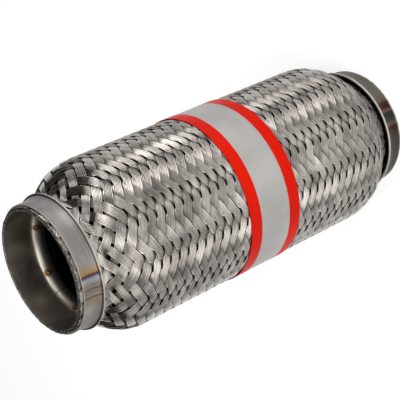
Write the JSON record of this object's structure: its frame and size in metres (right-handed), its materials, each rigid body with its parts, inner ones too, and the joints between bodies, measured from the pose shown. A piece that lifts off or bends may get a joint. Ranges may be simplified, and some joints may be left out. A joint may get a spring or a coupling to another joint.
{
  "type": "exhaust flex pipe",
  "caption": "Straight braided exhaust flex pipe: a bellows and wound liner inside a woven wire sleeve, with a plain socket and flared collar at each end and a foil band round the middle.",
  "frame": {"origin": "on the pipe's axis at the rim of the rear end, on which the part stands", "axes": "+Z along the pipe's axis towards the front end; X and Y across it"},
  "size_m": [0.0812, 0.0812, 0.2],
  "materials": {
    "collar_steel": "satin pressed stainless sheet with heat tint beside its welds",
    "sleeve_steel": "dull brownish grey tube with a bright cut edge",
    "braid_wire": "flat strands of fine parallel stainless wires, woven over two and under two",
    "bellows_steel": "thin formed stainless sheet",
    "liner_steel": "bright wound stainless strip with brown spot weld marks on the end ring",
    "label_foil": "matt silver foil with a bright red margin along each edge"
  },
  "bodies": {
    "root": {"front_collar": "collar_steel", "rear_collar": "collar_steel", "front_sleeve": "sleeve_steel", "rear_sleeve": "sleeve_steel", "outer_braid": "braid_wire", "bellows": "bellows_steel", "interlock_liner": "liner_steel", "label_band": "label_foil"}
  },
  "joints": []
}
